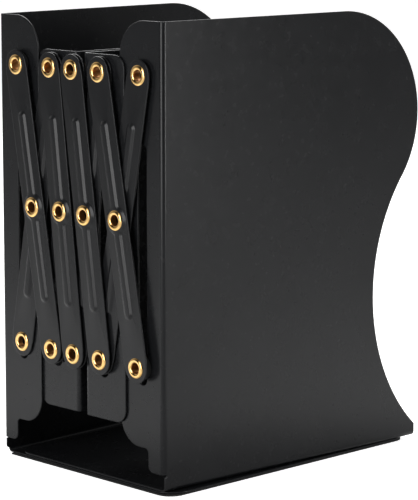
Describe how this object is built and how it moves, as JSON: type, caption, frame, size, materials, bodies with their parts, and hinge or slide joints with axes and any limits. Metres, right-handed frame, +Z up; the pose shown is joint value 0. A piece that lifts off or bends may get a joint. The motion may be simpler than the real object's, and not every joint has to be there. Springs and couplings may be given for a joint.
{
  "type": "expandable bookend",
  "caption": "Sheet-metal bookend whose footed end plates and hanging divider plates spread apart on a riveted scissor linkage of pressed bars.",
  "frame": {"origin": "bottom centre of the closed bookend's box, on the surface it stands on", "axes": "+Z up; -Y towards the side with the scissor linkage; the plates run back along +Y; +X to the right when looking at the linkage, the way the right end moves"},
  "size_m": [0.115, 0.1588, 0.2],
  "materials": {
    "end_coat": "satin dark charcoal powder coat",
    "divider_coat": "satin dark charcoal powder coat",
    "bar_coat": "satin dark charcoal powder coat",
    "brass": "polished",
    "nylon": "matte black",
    "pad": "matte black foam rubber"
  },
  "bodies": {
    "left_end": {"left_end": "end_coat", "foot_pad": "pad", "top_eyelet_1": "brass", "top_spacer_1": "nylon"},
    "front_bar_1": {"front_bar_1": "bar_coat", "middle_eyelet_1": "brass", "middle_washer_1": "nylon", "bottom_eyelet_2": "brass", "bottom_washer_2": "nylon", "bottom_spacer_2": "nylon"},
    "back_bar_1": {"back_bar_1": "bar_coat", "bottom_eyelet_1": "brass"},
    "front_bar_2": {"front_bar_2": "bar_coat", "middle_eyelet_2": "brass", "middle_washer_2": "nylon", "bottom_eyelet_3": "brass", "bottom_washer_3": "nylon"},
    "back_bar_2": {"back_bar_2": "bar_coat", "top_eyelet_3": "brass", "top_washer_3": "nylon"},
    "front_bar_3": {"front_bar_3": "bar_coat", "middle_eyelet_3": "brass", "middle_washer_3": "nylon", "bottom_eyelet_4": "brass", "bottom_washer_4": "nylon"},
    "back_bar_3": {"back_bar_3": "bar_coat"},
    "front_bar_4": {"front_bar_4": "bar_coat", "middle_eyelet_4": "brass", "middle_washer_4": "nylon", "bottom_eyelet_5": "brass", "bottom_spacer_5": "nylon"},
    "back_bar_4": {"back_bar_4": "bar_coat", "top_eyelet_5": "brass", "top_spacer_5": "nylon"},
    "left_divider": {"left_divider": "divider_coat", "top_eyelet_2": "brass", "top_washer_2": "nylon", "top_spacer_2": "nylon"},
    "right_divider": {"right_divider": "divider_coat", "top_eyelet_4": "brass", "top_washer_4": "nylon"},
    "right_end": {"right_end": "end_coat"}
  },
  "joints": [
    {"name": "tongs_opening", "type": "hinge", "parent": "left_end", "child": "front_bar_1", "pos_m": [-0.0376, -0.07493, 0.1774], "axis": [0, -1, 0], "range_deg": [0, 51.85]},
    {"name": "middle_pivot_1", "type": "hinge", "parent": "front_bar_1", "child": "back_bar_1", "pos_m": [-0.0266, -0.07493, 0.1158], "axis": [0, -1, 0], "range_deg": [-106.75, 3]},
    {"name": "lower_pivot_2", "type": "hinge", "parent": "front_bar_1", "child": "back_bar_2", "pos_m": [-0.0156, -0.07493, 0.0542], "axis": [0, -1, 0], "range_deg": [-109.89, 3]},
    {"name": "middle_pivot_2", "type": "hinge", "parent": "back_bar_2", "child": "front_bar_2", "pos_m": [-0.00835, -0.07493, 0.1158], "axis": [0, -1, 0], "range_deg": [-3, 113.03]},
    {"name": "left_divider_pivot", "type": "hinge", "parent": "front_bar_2", "child": "left_divider", "pos_m": [-0.0156, -0.07493, 0.1774], "axis": [0, -1, 0], "range_deg": [-58.02, 3]},
    {"name": "top_pivot_3", "type": "hinge", "parent": "back_bar_2", "child": "front_bar_3", "pos_m": [-0.0011, -0.07493, 0.1774], "axis": [0, -1, 0], "range_deg": [-3, 111.89]},
    {"name": "middle_pivot_3", "type": "hinge", "parent": "front_bar_3", "child": "back_bar_3", "pos_m": [0.0075, -0.07493, 0.1158], "axis": [0, -1, 0], "range_deg": [-110.73, 3]},
    {"name": "lower_pivot_4", "type": "hinge", "parent": "front_bar_3", "child": "back_bar_4", "pos_m": [0.0161, -0.07493, 0.0542], "axis": [0, -1, 0], "range_deg": [-108.22, 3]},
    {"name": "middle_pivot_4", "type": "hinge", "parent": "back_bar_4", "child": "front_bar_4", "pos_m": [0.02775, -0.07493, 0.1158], "axis": [0, -1, 0], "range_deg": [-3, 105.69]},
    {"name": "right_divider_pivot", "type": "hinge", "parent": "front_bar_4", "child": "right_divider", "pos_m": [0.0161, -0.07493, 0.1774], "axis": [0, -1, 0], "range_deg": [-54.35, 3]},
    {"name": "right_end_pivot", "type": "hinge", "parent": "back_bar_4", "child": "right_end", "pos_m": [0.0394, -0.07493, 0.1774], "axis": [0, -1, 0], "range_deg": [-3, 54.35]}
  ],
  "couplings": [
    {"joint": "middle_pivot_1", "follows": "tongs_opening", "ratio": -2},
    {"joint": "lower_pivot_2", "follows": "tongs_opening", "ratio": -2.0606},
    {"joint": "middle_pivot_2", "follows": "tongs_opening", "ratio": 2.1211},
    {"joint": "left_divider_pivot", "follows": "tongs_opening", "ratio": -1.0606},
    {"joint": "top_pivot_3", "follows": "tongs_opening", "ratio": 2.099},
    {"joint": "middle_pivot_3", "follows": "tongs_opening", "ratio": -2.0768},
    {"joint": "lower_pivot_4", "follows": "tongs_opening", "ratio": -2.0282},
    {"joint": "middle_pivot_4", "follows": "tongs_opening", "ratio": 1.9797},
    {"joint": "right_divider_pivot", "follows": "tongs_opening", "ratio": -0.98983},
    {"joint": "right_end_pivot", "follows": "tongs_opening", "ratio": 0.98983}
  ]
}
